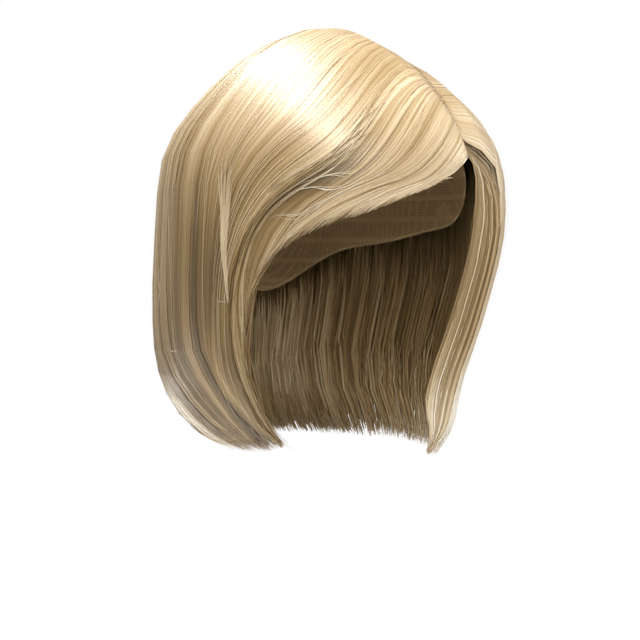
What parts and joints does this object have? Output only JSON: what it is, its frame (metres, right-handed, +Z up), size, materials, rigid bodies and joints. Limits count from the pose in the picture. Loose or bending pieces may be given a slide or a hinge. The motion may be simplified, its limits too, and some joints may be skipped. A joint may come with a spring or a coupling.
{
  "type": "straight wig with bangs",
  "caption": "Straight chin-length wig with a side parting, bangs swept across the forehead and ends curled in, its hair sewn in sections on an open stretch cap.",
  "frame": {"origin": "inside of the cap's top, where it bears on the crown of the head", "axes": "+Z up, the face side towards -Y, the wearer's left towards +X"},
  "size_m": [0.1982, 0.2114, 0.2433],
  "materials": {
    "hair": "glossy straight synthetic fibre in mixed blonde tones, from cream to light brown",
    "cap_net": "matt stretch net with sewn rows of hair"
  },
  "bodies": {
    "root": {"cap": "cap_net", "bangs": "hair", "right_side_hair": "hair", "back_hair": "hair", "left_side_hair": "hair"}
  },
  "joints": []
}
